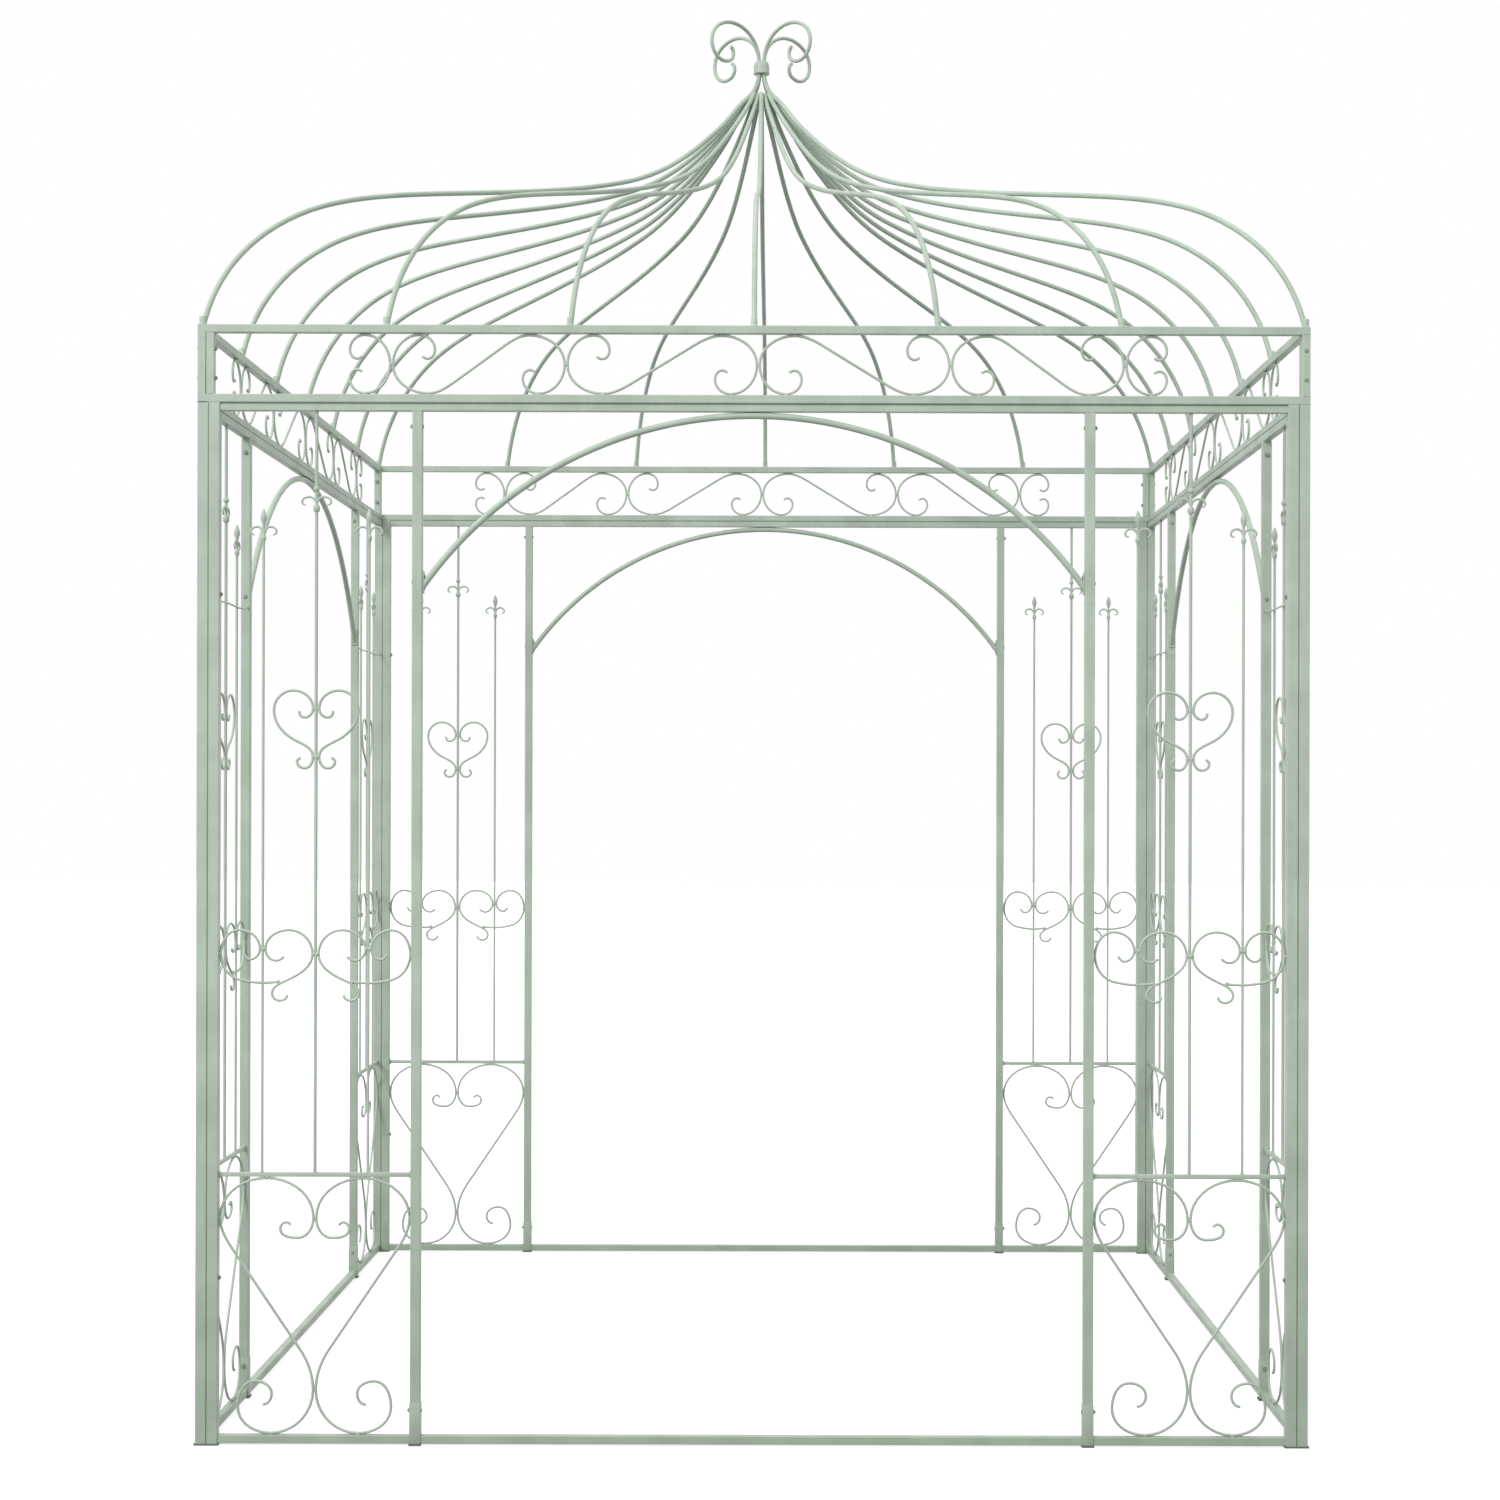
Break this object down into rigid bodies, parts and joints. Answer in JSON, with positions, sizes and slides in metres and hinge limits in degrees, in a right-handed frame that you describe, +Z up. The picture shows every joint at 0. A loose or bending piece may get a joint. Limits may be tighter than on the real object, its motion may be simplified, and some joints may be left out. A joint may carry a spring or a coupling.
{
  "type": "open metal garden gazebo",
  "caption": "Square open garden gazebo of painted steel tube with arched doorways, scrollwork side panels, a scroll frieze and an ogee roof of bent ribs under a curled finial",
  "frame": {"origin": "on the ground at the centre of the square plan", "axes": "+Z up, the front wall faces -Y, +X to the right as seen from the front"},
  "size_m": [2.004, 2.004, 2.844],
  "materials": {
    "painted_tube": "pale sage green satin paint on steel tube",
    "painted_rod": "pale sage green satin paint on forged steel rod",
    "foot_cap": "darker grey green paint on steel plate"
  },
  "bodies": {
    "root": {"front_corner_posts": "painted_tube", "front_door_posts": "painted_tube", "front_rails": "painted_tube", "front_arch": "painted_tube", "front_left_panel": "painted_rod", "front_right_panel": "painted_rod", "right_corner_posts": "painted_tube", "right_door_posts": "painted_tube", "right_rails": "painted_tube", "right_arch": "painted_tube", "right_left_panel": "painted_rod", "right_right_panel": "painted_rod", "back_corner_posts": "painted_tube", "back_door_posts": "painted_tube", "back_rails": "painted_tube", "back_arch": "painted_tube", "back_left_panel": "painted_rod", "back_right_panel": "painted_rod", "left_corner_posts": "painted_tube", "left_door_posts": "painted_tube", "left_rails": "painted_tube", "left_arch": "painted_tube", "left_left_panel": "painted_rod", "left_right_panel": "painted_rod", "side_tie_bars": "painted_rod", "post_feet": "foot_cap", "front_frieze_frame": "painted_tube", "front_frieze_scrolls": "painted_rod", "right_frieze_frame": "painted_tube", "right_frieze_scrolls": "painted_rod", "back_frieze_frame": "painted_tube", "back_frieze_scrolls": "painted_rod", "left_frieze_frame": "painted_tube", "left_frieze_scrolls": "painted_rod", "front_ribs": "painted_tube", "right_ribs": "painted_tube", "back_ribs": "painted_tube", "left_ribs": "painted_tube", "corner_ribs": "painted_tube", "rib_crown": "painted_tube", "finial_collar": "painted_tube", "finial_scrolls": "painted_rod"}
  },
  "joints": []
}
